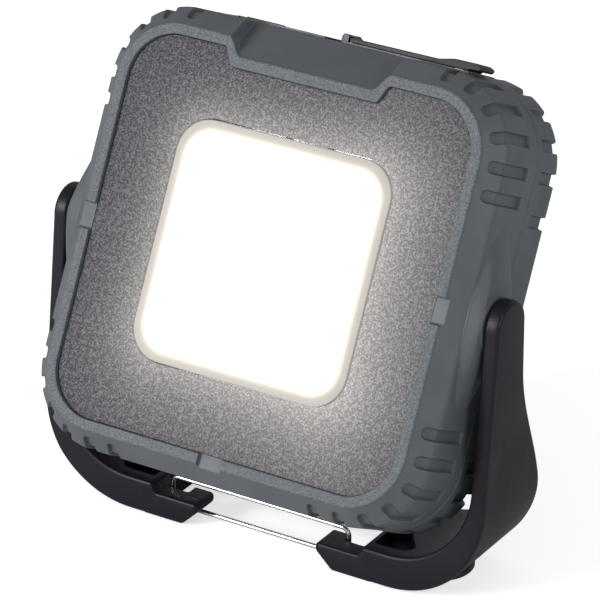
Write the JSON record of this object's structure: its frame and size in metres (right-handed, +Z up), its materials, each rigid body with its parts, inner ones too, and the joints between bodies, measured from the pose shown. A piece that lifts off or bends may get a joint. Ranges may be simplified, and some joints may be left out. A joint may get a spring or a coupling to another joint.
{
  "type": "work light",
  "caption": "Rechargeable LED work light: a square ribbed head with a frosted window tilts in a U-shaped stand with a fold-out hanging wire and magnetic feet.",
  "frame": {"origin": "on the ground, in the middle of the light's bounding box at rest", "axes": "+Z up, +X to the right as seen from the front, the lit face looks towards -Y and leans back 27 degrees at rest"},
  "size_m": [0.1726, 0.1055, 0.1701],
  "materials": {
    "housing_grey": "fine moulded texture",
    "panel_dark": "grained",
    "stand_black": "satin",
    "trim_black": "satin",
    "rubber_black": "matte",
    "lens_frosted": "frosted, lit from behind",
    "reflector_white": "bright white",
    "phosphor": "phosphor coating",
    "steel": "zinc plated",
    "wire_steel": "bright drawn wire",
    "magnet_nickel": "nickel plated",
    "sink_aluminium": "bare sheet",
    "thermal_grey": "soft pad",
    "board_white": "white solder mask",
    "board_green": "solder mask",
    "cell_blue": "shrink wrap",
    "strap_nickel": "bare strip",
    "lead_red": "insulation",
    "lead_white": "insulation",
    "pipe_clear": "clear light pipe"
  },
  "bodies": {
    "stand": {"stand_frame": "stand_black", "friction_rings": "rubber_black", "pivot_washers": "steel", "pivot_screws": "steel", "foot_magnets": "magnet_nickel", "foot_pads": "rubber_black"},
    "lamp_head": {"front_housing": "housing_grey", "rear_housing": "housing_grey", "housing_gasket": "rubber_black", "housing_screws": "steel", "front_panel": "panel_dark", "window_lens": "lens_frosted", "lens_gasket": "rubber_black", "reflector": "reflector_white", "led_board": "board_white", "led_chip": "phosphor", "led_screws": "steel", "thermal_pad": "thermal_grey", "heat_sink": "sink_aluminium", "heat_sink_screws": "steel", "battery_cradle": "trim_black", "battery_cells": "cell_blue", "cell_straps": "strap_nickel", "cradle_screws": "steel", "battery_leads": "lead_red", "main_circuit_board": "board_green", "board_screws": "steel", "usb_c_socket": "steel", "usb_a_socket": "steel", "push_switch": "trim_black", "led_leads": "lead_white", "charge_indicators": "pipe_clear", "control_strip": "trim_black", "port_frame": "trim_black", "flap_pin": "steel"},
    "power_button": {"power_button": "rubber_black"},
    "port_flap": {"port_flap": "rubber_black"},
    "hanging_wire": {"hanging_wire": "wire_steel"}
  },
  "joints": [
    {"name": "head_tilt", "type": "hinge", "parent": "stand", "child": "lamp_head", "pos_m": [0, -0.00584, 0.098], "axis": [-1, 0, 0], "range_deg": [-117, 63]},
    {"name": "power_press", "type": "slide", "parent": "lamp_head", "child": "power_button", "axis": [0, -0.454, -0.891], "range_m": [0, 0.0008], "stiffness_N_per_m": 2000},
    {"name": "flap_turn", "type": "hinge", "parent": "lamp_head", "child": "port_flap", "pos_m": [0.003, 0.03167, 0.1661], "axis": [0, -0.891, 0.454], "range_deg": [0, 100]},
    {"name": "wire_fold", "type": "hinge", "parent": "stand", "child": "hanging_wire", "pos_m": [0, -0.01634, 0.0028], "axis": [-1, 0, 0], "range_deg": [0, 90]}
  ]
}
